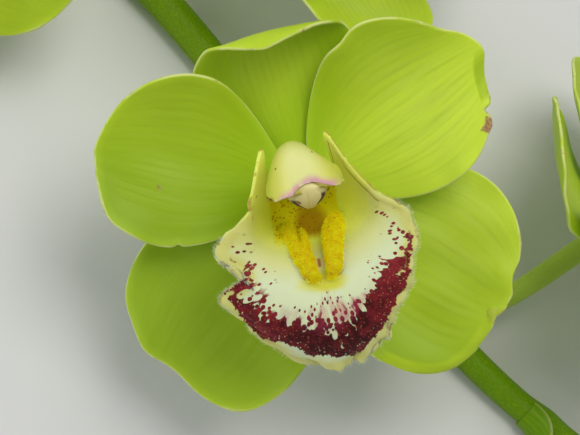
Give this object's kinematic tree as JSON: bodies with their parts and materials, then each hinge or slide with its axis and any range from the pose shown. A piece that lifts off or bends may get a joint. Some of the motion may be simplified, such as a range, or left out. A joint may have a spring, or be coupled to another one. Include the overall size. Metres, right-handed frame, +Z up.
{
  "type": "cymbidium orchid stem",
  "caption": "Cut cymbidium orchid stem lying on a surface, with green blooms, white lips banded in maroon, and buds at its tip.",
  "frame": {"origin": "on the surface that the stem lies on, under the middle of its bounding box", "axes": "+X along the stalk from the cut end to the youngest bud, +Z up from the surface, and +Y to the side of blooms 1, 3 and 5"},
  "size_m": [0.45, 0.1608, 0.0785],
  "materials": {
    "tepal": "waxy yellow-green petal with fine lengthwise veins",
    "lip": "white to cream velvety lip with a maroon band and yellow ridges",
    "column": "smooth waxy cream with a pink rim",
    "anther_cap": "smooth pale cream",
    "stalk": "smooth fleshy green stalk, slightly glossy",
    "bud": "waxy pale green bud"
  },
  "bodies": {
    "root": {"bloom_1_anther_cap": "anther_cap", "bloom_1_column": "column", "bloom_1_dorsal_sepal": "tepal", "bloom_1_left_petal": "tepal", "bloom_1_left_sepal": "tepal", "bloom_1_lip": "lip", "bloom_1_right_petal": "tepal", "bloom_1_right_sepal": "tepal", "bloom_2_anther_cap": "anther_cap", "bloom_2_column": "column", "bloom_2_dorsal_sepal": "tepal", "bloom_2_left_petal": "tepal", "bloom_2_left_sepal": "tepal", "bloom_2_lip": "lip", "bloom_2_right_petal": "tepal", "bloom_2_right_sepal": "tepal", "bloom_3_anther_cap": "anther_cap", "bloom_3_column": "column", "bloom_3_dorsal_sepal": "tepal", "bloom_3_left_petal": "tepal", "bloom_3_left_sepal": "tepal", "bloom_3_lip": "lip", "bloom_3_right_petal": "tepal", "bloom_3_right_sepal": "tepal", "bloom_4_anther_cap": "anther_cap", "bloom_4_column": "column", "bloom_4_dorsal_sepal": "tepal", "bloom_4_left_petal": "tepal", "bloom_4_left_sepal": "tepal", "bloom_4_lip": "lip", "bloom_4_right_petal": "tepal", "bloom_4_right_sepal": "tepal", "bloom_5_anther_cap": "anther_cap", "bloom_5_column": "column", "bloom_5_dorsal_sepal": "tepal", "bloom_5_left_petal": "tepal", "bloom_5_left_sepal": "tepal", "bloom_5_lip": "lip", "bloom_5_right_petal": "tepal", "bloom_5_right_sepal": "tepal", "bud_1": "bud", "bud_2": "bud", "bud_3": "bud", "bud_4": "bud", "stalk": "stalk"}
  },
  "joints": []
}
